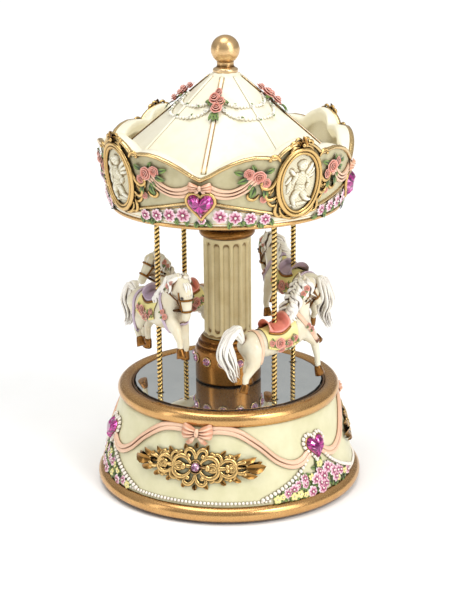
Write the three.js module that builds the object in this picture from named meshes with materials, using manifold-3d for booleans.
// Carousel music box: a cast resin base with a spring-driven movement inside, a mirrored turntable
// that carries a fluted column and a scalloped canopy, and four horses that ride up and down on poles.
// Millimetres, +Z up. The origin is the middle of the foot, on the surface that the box stands on.
// Azimuths are in degrees from -Y (the front) towards +X.
import * as THREE from "three";
import { mergeVertices } from "three/addons/utils/BufferGeometryUtils.js";
import Module from "manifold-3d";

const wasm = await Module();
wasm.setup();

// ---------------------------------------------------------------- driving dimensions
const TOTAL_HEIGHT = 178;
const GAP = 0.3; // kept between pieces that touch
const ROUND = 36; // facets of the large rings
const SMALL_ROUND = 20; // facets of shafts and screws

const FOOT_RADIUS = 53.1; // outer radius of the bead round the foot
const BEAD = 3.1; // section radius of the foot bead
const WALL_FOOT_RADIUS = 50.4;
const WALL_TOP_RADIUS = 43.2;
const RIM_RADIUS = 41.2; // centre line of the rolled rim
const RIM_SECTION = 3.2;
const RIM_HEIGHT = 38.6;

const SHOULDER_HEIGHT = 13.3; // underside of the ledge that the bottom plate meets
const PLATE_TOP = SHOULDER_HEIGHT - GAP;
const PLATE_THICKNESS = 2.5;
const PLATE_RADIUS = 46;

const MIRROR_TOP = 41.2;
const MIRROR_THICKNESS = 1.4;
const TABLE_RADIUS = 37.3;
const TABLE_THICKNESS = 2.3;
const TABLE_REST_ANGLE = 4; // azimuth of a canopy valley with the carousel at rest

const POLE_CIRCLE = 32;
const POLE_RADIUS = 1.1;
const LIFT = 9; // travel of a horse from its lowest to its highest place
const LOW_SADDLE = 74.4; // height of the seat of a horse at the bottom of its travel
const WAVE_CREST = 24.1;

const DRUM_RADIUS = 13.1;
const SHAFT_RADIUS = 9.3;
const SHAFT_BOTTOM = 59.8;
const SHAFT_TOP = 100;
const FLUTES = 12;

const CANOPY_BOTTOM = 112.9;
const CANOPY_FOOT_RADIUS = 44.1;
const ROOF_PEAK = 161.8;
const VALLEY_HEIGHT = 132;
const BALL_RADIUS = 5.5;

const ARBOR_HEIGHT = 27.8; // axis of the pinned cylinder
const CROWN_TEETH = 48;
const PINION_TEETH = 12;
const CYLINDER_GEAR_TEETH = 36;
const FLY_PINION_TEETH = 12;
const CROWN_RADIUS = 10.6; // pitch radius
const GEAR_MODULE = 0.38;

// ---------------------------------------------------------------- materials
const finish = (color, roughness, metalness = 0) =>
  new THREE.MeshStandardMaterial({ color, roughness, metalness });
const creamResin = finish(0xf3ecc6, 0.4);
const gildedResin = finish(0xb8863f, 0.35, 0.7);
const mirrorGlass = finish(0xc4ccca, 0.05, 1);
const brass = finish(0xd0ab4e, 0.25, 1);
const antiqueBrass = finish(0x9c7433, 0.4, 1);
const steel = finish(0xb9bcc0, 0.3, 1);
const blackPlastic = finish(0x2b2b2e, 0.6);
const whitePlastic = finish(0xe6e4dd, 0.5);
const horseResin = finish(0xf6f1e2, 0.35);
const pinkCrystal = finish(0xd13a9c, 0.05);
const felt = finish(0x5b2f3a, 0.95);
const zinc = finish(0x9a9da1, 0.45, 0.9);

// ---------------------------------------------------------------- solids
const toRadians = THREE.MathUtils.degToRad;

// A closed three.js geometry as a solid, turned the right way out.
function solid(geometry) {
  const bare = (geometry.index ? geometry.toNonIndexed() : geometry.clone())
    .deleteAttribute("normal")
    .deleteAttribute("uv");
  const merged = mergeVertices(bare, 1e-4);
  const triVerts = new Uint32Array(merged.index.array);
  const build = () =>
    new wasm.Manifold(
      new wasm.Mesh({ numProp: 3, vertProperties: merged.attributes.position.array, triVerts }),
    );
  const made = build();
  if (made.volume() >= 0) return made;
  for (let i = 0; i < triVerts.length; i += 3)
    [triVerts[i + 1], triVerts[i + 2]] = [triVerts[i + 2], triVerts[i + 1]];
  return build();
}

// A solid as a three.js geometry with flat faces.
function geometryOf(made) {
  const mesh = made.getMesh();
  const positions = new Float32Array(mesh.numVert * 3);
  for (let i = 0; i < mesh.numVert; i++)
    positions.set(mesh.vertProperties.subarray(i * mesh.numProp, i * mesh.numProp + 3), i * 3);
  const geometry = new THREE.BufferGeometry()
    .setAttribute("position", new THREE.BufferAttribute(positions, 3))
    .setIndex(new THREE.BufferAttribute(mesh.triVerts, 1))
    .toNonIndexed();
  geometry.computeVertexNormals();
  return geometry;
}

const join = (...solids) => solids.reduce((a, b) => a.add(b));
const cut = (body, ...tools) => tools.reduce((a, b) => a.subtract(b), body);

// A profile of [radius, height] pairs turned about Z.
function turned(profile, segments = ROUND, startAngle = 0) {
  const points = profile.map(([r, z]) => new THREE.Vector2(r, z));
  const closed = points[0].x === 0 && points.at(-1).x === 0;
  if (!closed) points.push(points[0].clone());
  return solid(new THREE.LatheGeometry(points, segments, startAngle).rotateX(Math.PI / 2));
}

const rod = (radius, bottom, top, segments = SMALL_ROUND) =>
  turned([[0, bottom], [radius, bottom], [radius, top], [0, top]], segments);

const ring = (inner, outer, bottom, top, segments = ROUND) =>
  turned([[inner, bottom], [outer, bottom], [outer, top], [inner, top]], segments);

function block(xs, ys, zs) {
  const [x0, x1] = xs;
  const [y0, y1] = ys;
  const [z0, z1] = zs;
  const box = new THREE.BoxGeometry(x1 - x0, y1 - y0, z1 - z0);
  return solid(box.translate((x0 + x1) / 2, (y0 + y1) / 2, (z0 + z1) / 2));
}

// A closed outline of [x, y] pairs, extruded upwards from z = 0.
function plate(outline, thickness, holes = []) {
  const shape = new THREE.Shape(outline.map(([x, y]) => new THREE.Vector2(x, y)));
  for (const hole of holes)
    shape.holes.push(new THREE.Path(hole.map(([x, y]) => new THREE.Vector2(x, y))));
  return solid(new THREE.ExtrudeGeometry(shape, { depth: thickness, bevelEnabled: false }));
}

const circle = (radius, count, x = 0, y = 0) =>
  Array.from({ length: count }, (_, i) => {
    const angle = (2 * Math.PI * i) / count;
    return [x + radius * Math.cos(angle), y + radius * Math.sin(angle)];
  });

// The point at an azimuth, a radius and a height.
function polar(azimuth, radius, height) {
  const angle = toRadians(azimuth);
  return [radius * Math.sin(angle), -radius * Math.cos(angle), height];
}

// A solid made facing +X at the axis, turned to face outwards at an azimuth.
const facing = (made, azimuth) => made.rotate([0, 0, azimuth - 90]);

const CANOPY_QUARTERS = [0, 90, 180, 270].map((turn) => turn + TABLE_REST_ANGLE);
const BASE_THIRDS = [0, 120, 240];
const POLE_AZIMUTHS = CANOPY_QUARTERS.map((azimuth) => azimuth + 45);

// ---------------------------------------------------------------- node list
const carousel = new THREE.Group();
function addNode(name, made, material) {
  const mesh = new THREE.Mesh(geometryOf(made), material);
  mesh.name = name;
  carousel.add(mesh);
}

// ---------------------------------------------------------------- base
// The height of the wall as a share t of its rise, as a radius: straight, and fuller near the foot.
const WALL_FOOT = 2 * BEAD;
const WALL_TOP = RIM_HEIGHT - RIM_SECTION;
function wallRadius(height) {
  const t = (height - WALL_FOOT) / (WALL_TOP - WALL_FOOT);
  return WALL_FOOT_RADIUS + (WALL_TOP_RADIUS - WALL_FOOT_RADIUS) * (0.72 * t + 0.28 * t * t);
}

// Points on a round bead, from one angle to another, counter-clockwise.
function beadArc(centreRadius, centreHeight, section, from, to, steps) {
  return Array.from({ length: steps + 1 }, (_, i) => {
    const angle = toRadians(from + ((to - from) * i) / steps);
    return [centreRadius + section * Math.cos(angle), centreHeight + section * Math.sin(angle)];
  });
}

const FELT_THICKNESS = 1;
const FELT_RADII = [47.2, 50];
const BASE_SCREW_CIRCLE = 44.2;
const BASE_SCREW_AZIMUTHS = [60, 180, 300];
const PLATE_BOTTOM = PLATE_TOP - PLATE_THICKNESS;

function baseShell() {
  const underside = FELT_THICKNESS + GAP;
  const footCentre = FOOT_RADIUS - BEAD;
  const wall = [0.3, 0.6, 0.85].map((t) => {
    const height = WALL_FOOT + t * (WALL_TOP - WALL_FOOT);
    return [wallRadius(height), height];
  });
  const profile = [
    [PLATE_RADIUS + GAP, underside],
    [FELT_RADII[1] + 0.4, underside],
    ...beadArc(footCentre, BEAD + 0.5, BEAD, -70, 100, 6),
    ...wall,
    ...beadArc(RIM_RADIUS, RIM_HEIGHT, RIM_SECTION, -50, 180, 7),
    [RIM_RADIUS - RIM_SECTION, 35.4],
    [40, 33],
    [42, 26],
    [42.3, SHOULDER_HEIGHT],
    [PLATE_RADIUS + GAP, SHOULDER_HEIGHT],
  ];
  const screwHoles = BASE_SCREW_AZIMUTHS.map((azimuth) =>
    rod(1.4, 12, 20, 12).translate(polar(azimuth, BASE_SCREW_CIRCLE, 0)),
  );
  return cut(turned(profile), ...screwHoles);
}

function panScrew(shankRadius, headRadius, headHeight, length) {
  return turned(
    [
      [0, 0],
      [headRadius * 0.8, 0],
      [headRadius, headHeight * 0.4],
      [headRadius, headHeight],
      [shankRadius, headHeight],
      [shankRadius, headHeight + length],
      [0, headHeight + length + shankRadius * 0.8],
    ],
    8,
  );
}

const KEY_HOLE_RADIUS = 2.6;
const BED_SCREWS = [[-17, -12], [-17, 12]];

addNode("base_shell", baseShell(), creamResin);
addNode("felt_ring", ring(...FELT_RADII, 0, FELT_THICKNESS), felt);
addNode(
  "bottom_plate",
  cut(
    turned([
      [KEY_HOLE_RADIUS, PLATE_BOTTOM],
      [PLATE_RADIUS, PLATE_BOTTOM],
      [PLATE_RADIUS, PLATE_TOP],
      [KEY_HOLE_RADIUS, PLATE_TOP],
    ]),
    ...BASE_SCREW_AZIMUTHS.map((azimuth) =>
      rod(1.4, 5, 20, 12).translate(polar(azimuth, BASE_SCREW_CIRCLE, 0)),
    ),
    ...BED_SCREWS.map(([x, y]) => rod(1.3, 5, 20, 12).translate([x, y, 0])),
  ),
  blackPlastic,
);
BASE_SCREW_AZIMUTHS.forEach((azimuth, i) => {
  const seat = polar(azimuth, BASE_SCREW_CIRCLE, PLATE_BOTTOM - 1.4);
  const screw = panScrew(1.1, 2, 1.1, 8).translate(seat);
  addNode(`bottom_screw_${i + 1}`, screw, steel);
});

// The ring under the turntable whose two waves lift the poles as they pass over it.
function waveRing() {
  const inner = POLE_CIRCLE - 2.3;
  const outer = POLE_CIRCLE + 2.3;
  const bottom = PLATE_TOP + GAP;
  const steps = ROUND;
  const corners = [];
  for (let i = 0; i < steps; i++) {
    const azimuth = (360 * i) / steps;
    const wave = 0.5 - 0.5 * Math.cos(toRadians(2 * (azimuth - POLE_AZIMUTHS[1])));
    const top = WAVE_CREST - LIFT * wave;
    corners.push([
      polar(azimuth, inner, bottom),
      polar(azimuth, outer, bottom),
      polar(azimuth, outer, top),
      polar(azimuth, inner, top),
    ]);
  }
  return loopSolid(corners);
}

// A closed loop of sections, each a list of corners in the same order, skinned into one solid.
function loopSolid(sections) {
  const corners = sections[0].length;
  const positions = [];
  sections.forEach((section, i) => {
    const next = sections[(i + 1) % sections.length];
    for (let k = 0; k < corners; k++) {
      const l = (k + 1) % corners;
      positions.push(...section[k], ...section[l], ...next[l]);
      positions.push(...section[k], ...next[l], ...next[k]);
    }
  });
  return solid(geometryFrom(positions));
}

function geometryFrom(positions) {
  return new THREE.BufferGeometry().setAttribute(
    "position",
    new THREE.BufferAttribute(new Float32Array(positions), 3),
  );
}

// An open row of sections, capped flat at both ends.
function capSolid(sections) {
  const corners = sections[0].length;
  const positions = [];
  for (let i = 0; i + 1 < sections.length; i++) {
    for (let k = 0; k < corners; k++) {
      const l = (k + 1) % corners;
      positions.push(...sections[i][k], ...sections[i][l], ...sections[i + 1][l]);
      positions.push(...sections[i][k], ...sections[i + 1][l], ...sections[i + 1][k]);
    }
  }
  const first = sections[0];
  const last = sections.at(-1);
  for (let k = 1; k + 1 < corners; k++) {
    positions.push(...first[0], ...first[k + 1], ...first[k]);
    positions.push(...last[0], ...last[k], ...last[k + 1]);
  }
  return solid(geometryFrom(positions));
}

addNode("wave_ring", waveRing(), whitePlastic);

// ---------------------------------------------------------------- musical movement
const BED_BOTTOM = PLATE_TOP + GAP;
const BED_TOP = BED_BOTTOM + 2;
const BARREL_BOTTOM = BED_TOP + 1;
const BARREL_RADIUS = 12.2;
const CROWN_PITCH_HEIGHT = ARBOR_HEIGHT - (CROWN_RADIUS * PINION_TEETH) / CROWN_TEETH;
const CYLINDER_X = [14.2, 22.8];
const CYLINDER_RADIUS = 5;
const CYLINDER_GEAR_X = [23.6, 24.6];
const GEAR_DISTANCE = (GEAR_MODULE * (CYLINDER_GEAR_TEETH + FLY_PINION_TEETH)) / 2 + 0.1;
const FLY_Y = GEAR_DISTANCE;
const ARBOR_RADIUS = 0.9;

// A spur gear's outline: teeth with sloped flanks between a root and a tip radius.
function gearOutline(teeth, pitchRadius, addendum, dedendum) {
  const pitch = (2 * Math.PI) / teeth;
  const root = pitchRadius - dedendum;
  const tip = pitchRadius + addendum;
  return Array.from({ length: teeth }, (_, i) => {
    const middle = i * pitch;
    return [
      [root, middle - 0.27 * pitch],
      [tip, middle - 0.1 * pitch],
      [tip, middle + 0.1 * pitch],
      [root, middle + 0.27 * pitch],
    ].map(([r, a]) => [r * Math.cos(a), r * Math.sin(a)]);
  }).flat();
}

// Turns a solid made along +Z so that it lies along +X, centred on an arbor.
const alongX = (made, x, y, z) => made.rotate([0, 90, 0]).translate([x, y, z]);

addNode(
  "movement_bedplate",
  cut(
    block([-21, 30], [-19, 17.5], [BED_BOTTOM, BED_TOP]).intersect(
      rod(29.2, BED_BOTTOM - 1, BED_TOP + 1, ROUND),
    ),
    rod(3.4, BED_BOTTOM - 1, BED_TOP + 1),
    ...BED_SCREWS.map(([x, y]) => rod(1.3, 5, 20, 12).translate([x, y, 0])),
  ),
  zinc,
);
BED_SCREWS.forEach(([x, y], i) => {
  const screw = panScrew(1, 1.9, 1.1, 3.4).rotate([180, 0, 0]).translate([x, y, BED_TOP + 1.4]);
  addNode(`bedplate_screw_${i + 1}`, screw, steel);
});

// The mainspring's barrel, with crown teeth standing on its lid.
function springBarrel() {
  const lid = CROWN_PITCH_HEIGHT - 0.75;
  const body = turned(
    [
      [0, BARREL_BOTTOM],
      [BARREL_RADIUS - 0.6, BARREL_BOTTOM],
      [BARREL_RADIUS, BARREL_BOTTOM + 0.6],
      [BARREL_RADIUS, lid],
      [3.1, lid],
      [3.1, lid - 2],
      [0, lid - 2],
    ],
    32,
  );
  const halfTooth = (Math.PI * CROWN_RADIUS) / CROWN_TEETH / 2;
  const section = (x) => {
    const scale = x / CROWN_RADIUS;
    return [
      [x, -0.95 * halfTooth * scale, lid - 0.1],
      [x, 0.95 * halfTooth * scale, lid - 0.1],
      [x, 0.4 * halfTooth * scale, CROWN_PITCH_HEIGHT + 0.3],
      [x, -0.4 * halfTooth * scale, CROWN_PITCH_HEIGHT + 0.3],
    ];
  };
  const tooth = capSolid([section(CROWN_RADIUS - 0.7), section(CROWN_RADIUS + 0.7)]);
  const teeth = Array.from({ length: CROWN_TEETH }, (_, i) =>
    tooth.rotate([0, 0, (360 * i) / CROWN_TEETH]),
  );
  return join(body, ...teeth);
}
addNode("spring_barrel", springBarrel(), zinc);

const TABLE_TOP = MIRROR_TOP - MIRROR_THICKNESS - GAP;
const TABLE_BOTTOM = TABLE_TOP - TABLE_THICKNESS;
const SPINDLE_RADIUS = 2.8;
addNode(
  "drive_spindle",
  rod(SPINDLE_RADIUS, CROWN_PITCH_HEIGHT - 2.4, MIRROR_TOP + 4),
  brass,
);

function pinnedCylinder() {
  const body = ring(ARBOR_RADIUS + GAP, CYLINDER_RADIUS, 0, CYLINDER_X[1] - CYLINDER_X[0], 16);
  const pins = [];
  const rows = 9;
  for (let row = 0; row < rows; row++) {
    for (let k = 0; k < 2; k++) {
      const angle = row * 67 + k * 131;
      const pin = block([CYLINDER_RADIUS - 0.6, CYLINDER_RADIUS + 0.35], [-0.2, 0.2], [-0.2, 0.2]);
      pins.push(pin.translate([0, 0, 0.7 + row]).rotate([0, 0, angle]));
    }
  }
  return join(body, ...pins);
}
addNode("pinned_cylinder", alongX(pinnedCylinder(), CYLINDER_X[0], 0, ARBOR_HEIGHT), brass);
addNode("cylinder_arbor", alongX(rod(ARBOR_RADIUS, 8.9, 27.2, 12), 0, 0, ARBOR_HEIGHT), steel);

function spurGear(teeth, bore, xs, y, phase, module = GEAR_MODULE) {
  const gear = plate(
    gearOutline(teeth, (teeth * module) / 2, 0.36, 0.5),
    xs[1] - xs[0],
    [circle(bore, 12)],
  );
  return alongX(gear.rotate([0, 0, phase]), xs[0], y, ARBOR_HEIGHT);
}
const PINION_MODULE = (2 * CROWN_RADIUS) / CROWN_TEETH;
addNode(
  "crown_pinion",
  spurGear(
    PINION_TEETH,
    ARBOR_RADIUS + GAP,
    [CROWN_RADIUS - 0.6, CROWN_RADIUS + 0.6],
    0,
    15,
    PINION_MODULE,
  ),
  brass,
);
addNode(
  "cylinder_gear",
  spurGear(CYLINDER_GEAR_TEETH, ARBOR_RADIUS + GAP, CYLINDER_GEAR_X, 0, 5),
  brass,
);
addNode(
  "fly_pinion",
  spurGear(FLY_PINION_TEETH, ARBOR_RADIUS - 0.2 + GAP, CYLINDER_GEAR_X, FLY_Y, 0),
  steel,
);
addNode("fly_arbor", alongX(rod(ARBOR_RADIUS - 0.2, 12.2, 27.2, 12), 0, FLY_Y, ARBOR_HEIGHT), steel);

// Two paddles on a hub, which the air slows.
function airFly() {
  const hub = ring(ARBOR_RADIUS - 0.2 + GAP, 1.9, 0, 8, 12);
  const paddle = block([1.5, 4.3], [-0.35, 0.35], [0.5, 7.5]);
  return join(hub, paddle, paddle.rotate([0, 0, 180]));
}
addNode("air_fly", alongX(airFly(), 15.2, FLY_Y, ARBOR_HEIGHT), whitePlastic);

// A post with a bore for each arbor that it carries.
function bearing(xs) {
  const post = block(xs, [-2.2, FLY_Y + 1.9], [BED_TOP + GAP, ARBOR_HEIGHT + 2.2]);
  const bores = [0, FLY_Y].map((y) =>
    alongX(rod(ARBOR_RADIUS + GAP, -20, 20, 12), xs[0], y, ARBOR_HEIGHT),
  );
  return cut(post, ...bores);
}
addNode("bearing_inner", bearing([12.6, 13.9]), zinc);
addNode("bearing_outer", bearing([25.1, 26.5]), zinc);

const COMB_EDGE = -(CYLINDER_RADIUS + 0.75);
const COMB_BACK = -17;
const COMB_ROOT = -12;
const COMB_BOTTOM = ARBOR_HEIGHT - 0.4;
const COMB_THICKNESS = 0.9;
const COMB_SCREW_X = [CYLINDER_X[0] + 2.2, CYLINDER_X[1] - 2.2];
const COMB_SCREW_Y = -14.5;

// The steel comb: tongues cut into a plate, longest for the low notes.
function comb() {
  const tongues = 14;
  const pitch = (CYLINDER_X[1] - CYLINDER_X[0]) / tongues;
  const outline = [[CYLINDER_X[1], COMB_BACK], [CYLINDER_X[0], COMB_BACK]].reverse();
  for (let i = tongues - 1; i >= 0; i--) {
    const x = CYLINDER_X[0] + i * pitch;
    const root = COMB_ROOT + (2.5 * i) / tongues;
    outline.push([x + pitch, root], [x + pitch * 0.85, root]);
    outline.push([x + pitch * 0.85, COMB_EDGE], [x + pitch * 0.15, COMB_EDGE], [x + pitch * 0.15, root]);
  }
  outline.push([CYLINDER_X[0], COMB_ROOT]);
  const holes = COMB_SCREW_X.map((x) => circle(1, 10, x, COMB_SCREW_Y));
  return plate(outline, COMB_THICKNESS, holes).translate([0, 0, COMB_BOTTOM]);
}
addNode("comb", comb(), steel);
addNode(
  "comb_anvil",
  cut(
    block(CYLINDER_X, [COMB_BACK, COMB_ROOT - 0.6], [BED_TOP + GAP, COMB_BOTTOM - GAP]),
    ...COMB_SCREW_X.map((x) => rod(1, 20, 40, 10).translate([x, COMB_SCREW_Y, 0])),
  ),
  zinc,
);
COMB_SCREW_X.forEach((x, i) => {
  const screw = panScrew(0.7, 1.5, 0.8, 4).rotate([180, 0, 0]);
  const top = COMB_BOTTOM + COMB_THICKNESS + GAP + 0.8;
  addNode(`comb_screw_${i + 1}`, screw.translate([x, COMB_SCREW_Y, top]), steel);
});

// ---------------------------------------------------------------- winding key
const KEY_TOP = 8.6;
const KEY_BOTTOM = 1.6;
function keyWing() {
  const middle = (KEY_TOP + KEY_BOTTOM) / 2;
  const halfHeight = (KEY_TOP - KEY_BOTTOM) / 2;
  const halfWidth = 12;
  const outline = Array.from({ length: 28 }, (_, i) => {
    const angle = (2 * Math.PI * i) / 28;
    const waist = 0.62 + 0.38 * Math.abs(Math.cos(angle));
    const swell = Math.sign(Math.sin(angle)) * Math.abs(Math.sin(angle)) ** 0.6;
    return [halfWidth * Math.cos(angle), middle + halfHeight * waist * swell];
  });
  const holes = [-7.6, 7.6].map((x) => circle(1.9, 12, x, middle));
  const wing = plate(outline, 2.4, holes).rotate([90, 0, 0]).translate([0, 1.2, 0]);
  const boss = rod(2.9, KEY_BOTTOM + 1.2, KEY_TOP + 0.6, 16);
  return join(wing, boss);
}
addNode("key_wing", keyWing(), brass);
addNode("key_stem", rod(2, KEY_TOP + 0.6 + GAP, BARREL_BOTTOM - GAP, 16), steel);

// ---------------------------------------------------------------- turntable and column
const poleHoles = (radius, bottom, top) =>
  POLE_AZIMUTHS.map((azimuth) => rod(radius, bottom, top, 12).translate(polar(azimuth, POLE_CIRCLE, 0)));
const POLE_HOLE = POLE_RADIUS + 0.5;

addNode(
  "turntable_disc",
  cut(
    ring(SPINDLE_RADIUS + GAP, TABLE_RADIUS, TABLE_BOTTOM, TABLE_TOP),
    ...poleHoles(POLE_HOLE, 30, 50),
  ),
  whitePlastic,
);
addNode(
  "mirror_disc",
  cut(
    ring(SPINDLE_RADIUS + GAP, TABLE_RADIUS, MIRROR_TOP - MIRROR_THICKNESS, MIRROR_TOP),
    ...poleHoles(POLE_HOLE, 30, 50),
  ),
  mirrorGlass,
);
addNode(
  "column_base",
  turned(
    [
      [SPINDLE_RADIUS + GAP, MIRROR_TOP + GAP],
      [DRUM_RADIUS, MIRROR_TOP + GAP],
      [DRUM_RADIUS, 54.4],
      [DRUM_RADIUS - 0.7, 55.6],
      [DRUM_RADIUS - 1.2, 55.8],
      [DRUM_RADIUS - 1.1, 56.8],
      [DRUM_RADIUS - 2, 57.8],
      [SHAFT_RADIUS + 0.9, 58.4],
      [SHAFT_RADIUS + 0.3, SHAFT_BOTTOM - GAP],
      [0, SHAFT_BOTTOM - GAP],
      [0, MIRROR_TOP + 4 + GAP],
      [SPINDLE_RADIUS + GAP, MIRROR_TOP + 4 + GAP],
    ],
    24,
  ),
  gildedResin,
);

function flutedShaft() {
  const steps = 8;
  const outline = Array.from({ length: FLUTES * steps }, (_, i) => {
    const share = (i % steps) / steps;
    const depth = share < 0.25 ? 0 : 0.85 * Math.sin((Math.PI * (share - 0.25)) / 0.75);
    const angle = (2 * Math.PI * i) / (FLUTES * steps);
    return [(SHAFT_RADIUS - depth) * Math.cos(angle), (SHAFT_RADIUS - depth) * Math.sin(angle)];
  });
  return plate(outline, SHAFT_TOP - SHAFT_BOTTOM).translate([0, 0, SHAFT_BOTTOM]);
}
addNode("column_shaft", flutedShaft(), creamResin);

const CANOPY_FLOOR_BOTTOM = CANOPY_BOTTOM + 0.4;
addNode(
  "column_capital",
  turned(
    [
      [0, SHAFT_TOP + GAP],
      [SHAFT_RADIUS + 0.4, SHAFT_TOP + GAP],
      ...beadArc(SHAFT_RADIUS + 0.1, SHAFT_TOP + 1.8, 1.2, -60, 70, 4),
      [SHAFT_RADIUS + 0.3, SHAFT_TOP + 3.6],
      [SHAFT_RADIUS + 1.4, SHAFT_TOP + 6.5],
      [SHAFT_RADIUS + 4, SHAFT_TOP + 10],
      [SHAFT_RADIUS + 4.6, CANOPY_FLOOR_BOTTOM - GAP],
      [0, CANOPY_FLOOR_BOTTOM - GAP],
    ],
    24,
  ),
  gildedResin,
);

// ---------------------------------------------------------------- canopy
const CANOPY_FLOOR_TOP = CANOPY_FLOOR_BOTTOM + 1.6;
const CANOPY_WALL = 2.2;
const CREST_HEIGHT = 147.4;

// The canopy band leans outwards: its outer radius at a height.
function bandRadius(height) {
  const t = (height - CANOPY_BOTTOM) / (CREST_HEIGHT - CANOPY_BOTTOM);
  return CANOPY_FOOT_RADIUS + 5 * (1.5 * t - 0.5 * t * t);
}

// The band's top edge over an eighth of the round: a petal that rises from the valley, dips, and
// climbs to the crest over a medallion. Pairs of angle from the valley and height.
const PETAL_EDGE = new THREE.SplineCurve(
  [
    [0, VALLEY_HEIGHT],
    [5, 134.8],
    [11, 137.6],
    [18, 139.6],
    [25, 140.4],
    [31, 139.6],
    [34.5, 140],
    [38, 143.4],
    [41.5, 146],
    [45, CREST_HEIGHT],
  ].map(([angle, height]) => new THREE.Vector2(angle, height)),
);

function canopyBand() {
  const samples = PETAL_EDGE.getPoints(11).slice(0, -1);
  const mirrored = [new THREE.Vector2(45, CREST_HEIGHT), ...samples.slice(1).reverse()];
  const quarter = [
    ...samples.map((p) => [p.x, p.y]),
    ...mirrored.map((p, i) => [i === 0 ? 45 : 90 - p.x, p.y]),
  ];
  const section = (azimuth, top) => {
    const middle = (CANOPY_BOTTOM + VALLEY_HEIGHT) / 2;
    return [
      [CANOPY_FOOT_RADIUS - CANOPY_WALL, CANOPY_BOTTOM],
      [CANOPY_FOOT_RADIUS, CANOPY_BOTTOM],
      [bandRadius(middle), middle],
      [bandRadius(top), top],
      [bandRadius(top) - 1.6 - CANOPY_WALL / 2, top + 0.4],
      [bandRadius(middle) - CANOPY_WALL, middle],
    ].map(([radius, height]) => polar(azimuth, radius, height));
  };
  return loopSolid(
    CANOPY_QUARTERS.flatMap((start) => quarter.map(([angle, top]) => section(start + angle, top))),
  );
}

// An eight-sided roof with an edge over each valley and each medallion, slightly full.
function canopyRoof() {
  const profile = [
    [0, ROOF_PEAK],
    [5, ROOF_PEAK - 0.4],
    [20, 151.6],
    [36, 139],
    [50, 127.4],
    [50, 124.6],
    [35, 137],
    [19, 149.2],
    [0, ROOF_PEAK - 3],
  ];
  const start = toRadians(TABLE_REST_ANGLE);
  return turned(profile, 8, start).intersect(rod(44.4, 120, 170, ROUND));
}
addNode("canopy_shell", join(canopyBand(), canopyRoof()), creamResin);
const CANOPY_FLOOR_RADIUS = CANOPY_FOOT_RADIUS - CANOPY_WALL - 0.5;
addNode(
  "canopy_floor",
  cut(
    turned([
      [0, CANOPY_FLOOR_BOTTOM],
      [CANOPY_FLOOR_RADIUS, CANOPY_FLOOR_BOTTOM],
      [CANOPY_FLOOR_RADIUS, CANOPY_FLOOR_TOP],
      [0, CANOPY_FLOOR_TOP],
    ]),
    ...poleHoles(POLE_HOLE, 110, 120),
  ),
  creamResin,
);

const FINIAL_FOOT = ROOF_PEAK + GAP;
addNode(
  "finial",
  turned(
    [
      [0, FINIAL_FOOT],
      [4.9, FINIAL_FOOT],
      [5.2, FINIAL_FOOT + 0.7],
      [4.5, FINIAL_FOOT + 1.5],
      [5, FINIAL_FOOT + 2.2],
      [4.6, FINIAL_FOOT + 3.1],
      [3.3, FINIAL_FOOT + 3.7],
      ...beadArc(0, TOTAL_HEIGHT - BALL_RADIUS, BALL_RADIUS, -54, 90, 7).slice(0, -1),
      [0, TOTAL_HEIGHT],
    ],
    18,
  ),
  gildedResin,
);

// ---------------------------------------------------------------- applied ornaments
// A heart outline of a given width, point down, centred.
function heartOutline(width, count = 24) {
  return Array.from({ length: count }, (_, i) => {
    const t = (2 * Math.PI * (i + 0.5)) / count;
    const x = 16 * Math.sin(t) ** 3;
    const y = 13 * Math.cos(t) - 5 * Math.cos(2 * t) - 2 * Math.cos(3 * t) - Math.cos(4 * t);
    return [(x * width) / 32, ((y + 2) * width) / 32];
  });
}

// A flat ornament, made face up, stood upright at an azimuth so that its face looks outwards.
function upright(made, azimuth, radius, height, lean) {
  const stood = made.rotate([90, 0, 90]).rotate([0, lean, 0]);
  return facing(stood.translate([radius, 0, height]), azimuth);
}

const HEART_WIDTH = 10.4;
const CANOPY_LEAN = 8;
const WALL_LEAN = -13;
CANOPY_QUARTERS.forEach((azimuth, i) => {
  const heart = upright(plate(heartOutline(HEART_WIDTH), 2), azimuth, 46.8, 123.4, CANOPY_LEAN);
  addNode(`canopy_heart_${i + 1}`, heart, pinkCrystal);
});
BASE_THIRDS.forEach((azimuth, i) => {
  const heart = upright(plate(heartOutline(HEART_WIDTH), 2), azimuth + 60, 47.6, 25.2, WALL_LEAN);
  addNode(`base_heart_${i + 1}`, heart, pinkCrystal);
});

const MEDALLION_HALF = [9.2, 13];
POLE_AZIMUTHS.forEach((azimuth, i) => {
  const oval = Array.from({ length: 28 }, (_, k) => {
    const angle = (2 * Math.PI * k) / 28;
    return [MEDALLION_HALF[0] * Math.cos(angle), MEDALLION_HALF[1] * Math.sin(angle)];
  });
  const medallion = upright(plate(oval, 1.8), azimuth, 47.9, 130, CANOPY_LEAN);
  addNode(`medallion_${i + 1}`, medallion, antiqueBrass);
});

// A pierced brass spray bent round the wall, widest in the middle and pointed at both ends.
function filigree(azimuth) {
  const halfSpan = 31;
  const halfHeight = 7.9;
  const height = 21.5;
  const steps = 20;
  const sections = [];
  for (let i = 0; i <= steps; i++) {
    const u = -0.985 + (1.97 * i) / steps;
    const reach = halfHeight * (1 - Math.abs(u) ** 1.7);
    const corner = (z, proud) => polar(azimuth + u * halfSpan, wallRadius(z) + proud, z);
    sections.push([
      corner(height - reach, 0.5),
      corner(height - reach, 1.5),
      corner(height + reach, 1.5),
      corner(height + reach, 0.5),
    ]);
  }
  return capSolid(sections);
}
BASE_THIRDS.forEach((azimuth, i) => addNode(`filigree_${i + 1}`, filigree(azimuth), antiqueBrass));

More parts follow.
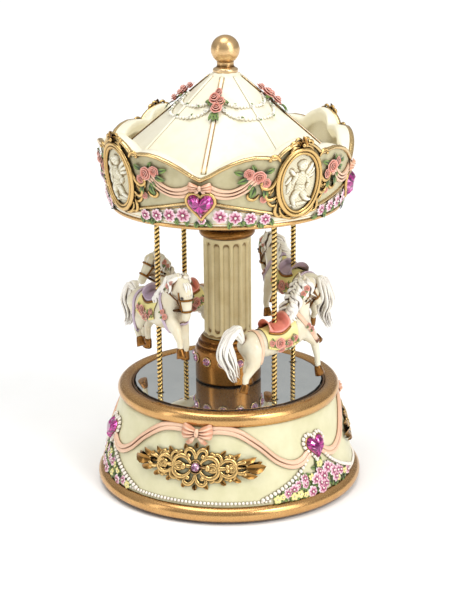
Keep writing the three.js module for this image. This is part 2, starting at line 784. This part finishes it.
// ---------------------------------------------------------------- horses and poles
// A rounded limb from one point to another, with a radius at each end.
function limb(from, to, startRadius, endRadius) {
  const segments = startRadius > 3.9 ? 6 : 5;
  const a = new THREE.Vector3(...from);
  const b = new THREE.Vector3(...to);
  const length = a.distanceTo(b);
  const half = Math.SQRT1_2;
  const profile = [
    [0, -startRadius * 0.9],
    [startRadius, 0],
    [endRadius, length],
    [endRadius * half, length + endRadius * half],
    [0, length + endRadius],
  ].map(([r, y]) => new THREE.Vector2(r, y));
  const geometry = new THREE.LatheGeometry(profile, segments);
  const turn = new THREE.Quaternion().setFromUnitVectors(
    new THREE.Vector3(0, 1, 0),
    b.clone().sub(a).normalize(),
  );
  return solid(geometry.applyQuaternion(turn).translate(a.x, a.y, a.z));
}

// Horse bodies as limbs: [from, to, radius, radius], forwards along +X, from the seat's middle.
const BOWED_HORSE = [
  [[-13, 0, -7], [9, 0, -7.5], 6.6, 6.2],
  [[9, 0, -6], [15.5, 0, 3], 5.4, 3.6],
  [[15.5, 0, 4], [19, 0, 5.5], 3.4, 2.6],
  [[19, 0, 5], [19.5, 0, -4], 2.8, 1.7],
  [[-15, 3, -9], [-14, 3.6, -18], 3.8, 1.8],
  [[-14, 3.6, -18], [-17, 3.8, -27], 1.6, 1.8],
  [[-13, -3, -9], [-9, -3.6, -17], 3.8, 1.8],
  [[-9, -3.6, -17], [-12, -3.8, -23], 1.6, 1.8],
  [[10, 3, -9], [8, 3.4, -19], 3, 1.7],
  [[8, 3.4, -19], [6, 3.4, -28], 1.5, 1.8],
  [[11, -3, -9], [17, -3.4, -15], 3, 1.7],
  [[17, -3.4, -15], [14, -3.4, -23.5], 1.5, 1.8],
  [[-18, 0, -4], [-22, 0, -7], 1.8, 2.4],
  [[-22, 0, -7], [-23, 0, -16], 2.4, 1.2],
];
const REARING_HORSE = [
  [[-12, 0, -10], [10, 0, -7], 6.6, 6.2],
  [[9.5, 0, -4], [12.5, 0, 8], 5.4, 3.6],
  [[12.5, 0, 8], [15.5, 0, 13], 3.6, 2.7],
  [[15.5, 0, 13], [20.5, 0, 5], 2.9, 1.7],
  [[-13, 3, -11], [-9, 3.6, -18.5], 3.8, 1.9],
  [[-9, 3.6, -18.5], [-12, 3.8, -25], 1.6, 1.8],
  [[-13, -3, -11], [-15, -3.6, -18], 3.8, 1.9],
  [[-15, -3.6, -18], [-18, -3.8, -25], 1.6, 1.8],
  [[12, 3, -9], [20, 3.4, -13.5], 3, 1.7],
  [[20, 3.4, -13.5], [19, 3.4, -22], 1.5, 1.8],
  [[11, -3, -9], [12, -3.4, -17], 3, 1.7],
  [[12, -3.4, -17], [7.5, -3.4, -20.5], 1.5, 1.8],
  [[-17, 0, -7], [-20, 0, -3], 1.8, 2.4],
  [[-20, 0, -3], [-22.5, 0, -14], 2.4, 1.2],
];

const POLE_TIP = WAVE_CREST + GAP;
const POLE_TOP = 124;
function pole() {
  const foot = POLE_RADIUS + 0.7;
  return turned(
    [
      [0, POLE_TIP],
      [foot * 0.7, POLE_TIP + 0.2],
      [foot, POLE_TIP + 1.2],
      [foot, POLE_TIP + 2],
      [POLE_RADIUS, POLE_TIP + 2.6],
      [POLE_RADIUS, POLE_TOP],
      [0, POLE_TOP],
    ],
    12,
  );
}

// Horses 1 and 3 are low at rest and rear up; horses 2 and 4 are high and bow their heads.
POLE_AZIMUTHS.forEach((azimuth, i) => {
  const high = i % 2 === 1;
  const raise = high ? LIFT : 0;
  const limbs = high ? BOWED_HORSE : REARING_HORSE;
  const bore = rod(POLE_RADIUS + GAP, -40, 30, 12);
  const body = cut(join(...limbs.map((parts) => limb(...parts))), bore);
  const seat = polar(azimuth, POLE_CIRCLE, LOW_SADDLE + raise);
  addNode(`horse_${i + 1}`, body.rotate([0, 0, azimuth]).translate(seat), horseResin);
  addNode(`pole_${i + 1}`, pole().translate(polar(azimuth, POLE_CIRCLE, raise)), brass);
});

export default carousel;
